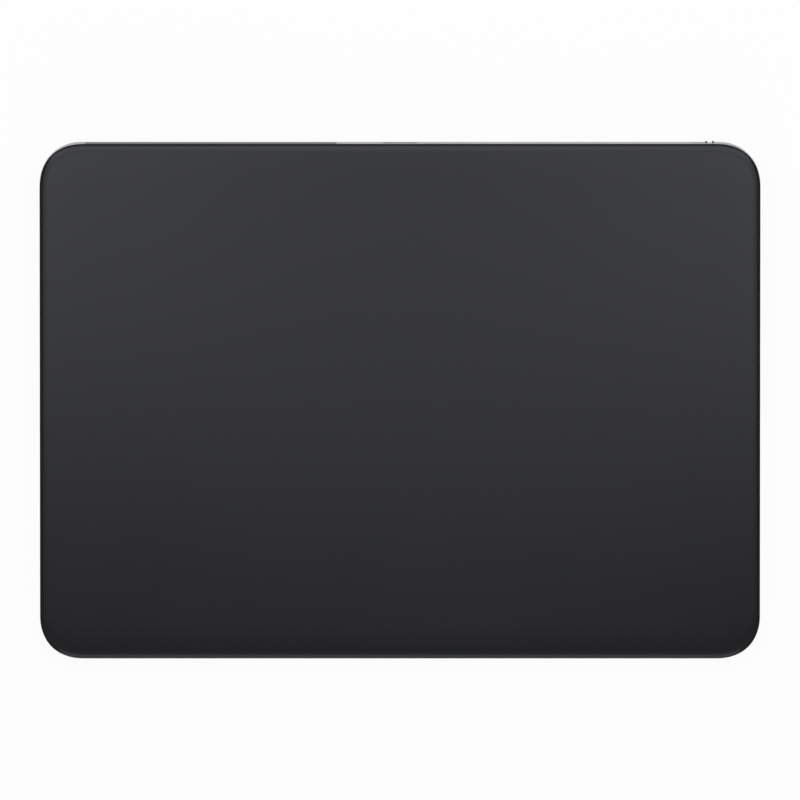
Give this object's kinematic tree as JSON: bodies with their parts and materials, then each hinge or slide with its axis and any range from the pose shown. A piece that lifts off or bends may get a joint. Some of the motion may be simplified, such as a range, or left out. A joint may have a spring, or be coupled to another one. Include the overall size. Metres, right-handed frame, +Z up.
{
  "type": "trackpad",
  "caption": "Slim wedge-shaped desktop trackpad: black glass touch plate on force-sensing beams over a silver aluminium housing with a haptic drive, charging port and power switch.",
  "frame": {"origin": "on the desk, under the middle of the pad", "axes": "+X to the right of someone facing the pad, +Y to its rear (the high edge with the port), +Z up"},
  "size_m": [0.16, 0.1153, 0.0109],
  "materials": {
    "anodised_aluminium": "bead-blasted, clear anodised",
    "window_plastic": "fine matte, grey",
    "black_glass": "finely etched, black behind",
    "foot_rubber": "matte",
    "circuit_board": "solder mask",
    "chip_epoxy": "moulded epoxy",
    "stainless_steel": "satin sheet",
    "screw_steel": "plain",
    "core_steel": "laminated",
    "copper_winding": "enamelled copper",
    "gold_contact": "gold plated",
    "flat_cable": "polyimide film",
    "coax_jacket": "satin",
    "gel": "translucent silicone",
    "bonding_tape": "foam tape",
    "battery_wrap": "black film over foil",
    "socket_plastic": "moulded",
    "black_plastic": "moulded"
  },
  "bodies": {
    "housing": {"housing": "anodised_aluminium", "antenna_window": "window_plastic", "bottom_cover": "anodised_aluminium", "cover_tape": "bonding_tape", "foot_front_left": "foot_rubber", "foot_front_right": "foot_rubber", "foot_rear_left": "foot_rubber", "foot_rear_right": "foot_rubber", "battery_cell": "battery_wrap", "battery_tape": "bonding_tape", "battery_guard_board": "circuit_board", "battery_lead": "flat_cable", "main_board": "circuit_board", "board_shield": "stainless_steel", "radio_chip": "chip_epoxy", "processor": "chip_epoxy", "power_chip": "chip_epoxy", "board_sockets": "socket_plastic", "main_board_screws": "screw_steel", "antenna": "flat_cable", "antenna_coax": "coax_jacket", "port_shell": "stainless_steel", "port_insulator": "black_plastic", "port_contacts": "gold_contact", "port_board": "circuit_board", "port_screws": "screw_steel", "port_flex": "flat_cable", "switch_board": "circuit_board", "switch_case": "stainless_steel", "switch_screws": "screw_steel", "switch_flex": "flat_cable", "haptic_bracket": "stainless_steel", "haptic_core": "core_steel", "haptic_coils": "copper_winding", "haptic_screws": "screw_steel", "haptic_lead": "flat_cable", "sensor_flex": "flat_cable", "gel_pads": "gel"},
    "force_sensors": {"force_beam_front_left": "stainless_steel", "force_beam_front_right": "stainless_steel", "force_beam_rear_left": "stainless_steel", "force_beam_rear_right": "stainless_steel", "strain_gauges": "flat_cable"},
    "touch_plate": {"touch_glass": "black_glass", "sensor_board": "circuit_board", "stiffener": "stainless_steel", "touch_controller": "chip_epoxy", "beam_spacers": "stainless_steel", "beam_screws": "screw_steel", "haptic_armature": "core_steel", "armature_screws": "screw_steel"},
    "power_slider": {"power_slider": "anodised_aluminium", "switch_actuator": "black_plastic"}
  },
  "joints": [
    {"name": "haptic_tap", "type": "slide", "parent": "housing", "child": "force_sensors", "axis": [1, 0, 0], "range_m": [-0.00015, 0.00015], "stiffness_N_per_m": 20000},
    {"name": "plate_press", "type": "slide", "parent": "force_sensors", "child": "touch_plate", "axis": [0, 0.0521, -0.9986], "range_m": [0, 0.00015], "stiffness_N_per_m": 30000, "springref_m": -0.0001, "deforming": ["force_beam_front_left", "force_beam_front_right", "force_beam_rear_left", "force_beam_rear_right", "sensor_flex"]},
    {"name": "power_switch", "type": "slide", "parent": "housing", "child": "power_slider", "axis": [-1, 0, 0], "range_m": [0, 0.0022]}
  ]
}
